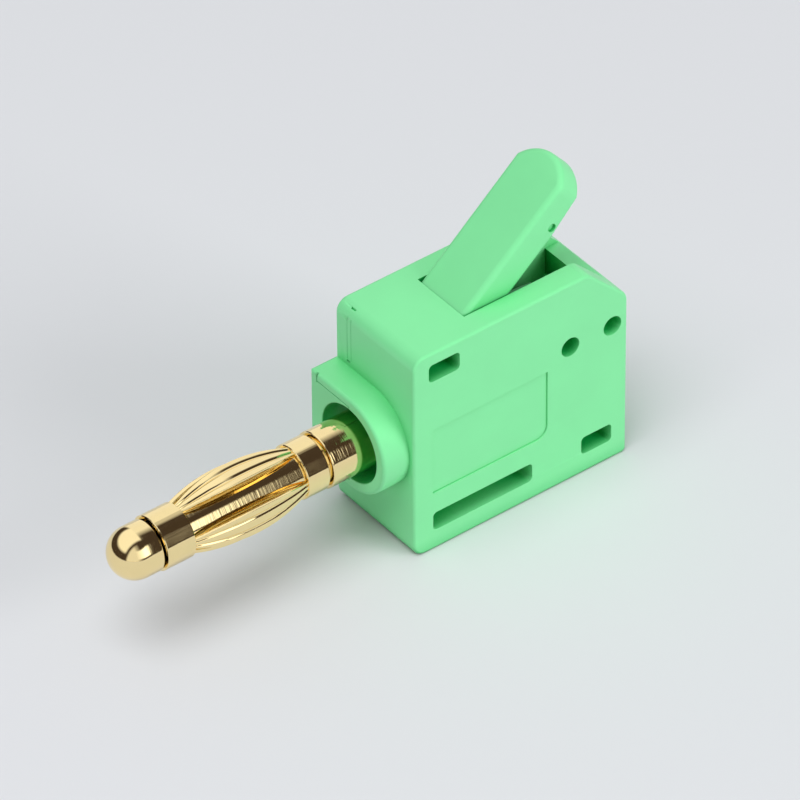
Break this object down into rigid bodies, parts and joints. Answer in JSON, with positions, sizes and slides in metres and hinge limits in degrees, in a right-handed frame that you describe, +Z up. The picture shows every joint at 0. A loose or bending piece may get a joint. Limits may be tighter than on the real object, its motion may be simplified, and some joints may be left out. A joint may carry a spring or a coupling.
{
  "type": "banana plug",
  "caption": "Green banana plug: flat snap-together housing, gold-plated lantern-spring pin in a collar at the front, and a raised lever that opens a spring clamp for a wire at the rear.",
  "frame": {"origin": "middle of the housing's flat base", "axes": "+Z up from the base, -X along the pin towards its tip, +X towards the wire entry, +Y towards the cover"},
  "size_m": [0.037, 0.0078, 0.0227],
  "materials": {
    "green_plastic": "satin moulded surface",
    "gold_plated_brass": "bright plated, turned",
    "tinned_copper": "satin plated strip",
    "spring_steel": "rolled strip"
  },
  "bodies": {
    "housing": {"housing_body": "green_plastic", "housing_cover": "green_plastic", "contact_pin": "gold_plated_brass", "lantern_spring": "gold_plated_brass", "busbar": "tinned_copper", "clamp_spring": "spring_steel"},
    "lever": {"lever": "green_plastic"}
  },
  "joints": [
    {"name": "lever_hinge", "type": "hinge", "parent": "housing", "child": "lever", "pos_m": [-0.00255, 0, 0.0143], "axis": [0, 1, 0], "range_deg": [0, 40.5], "deforming": ["clamp_spring"]}
  ]
}
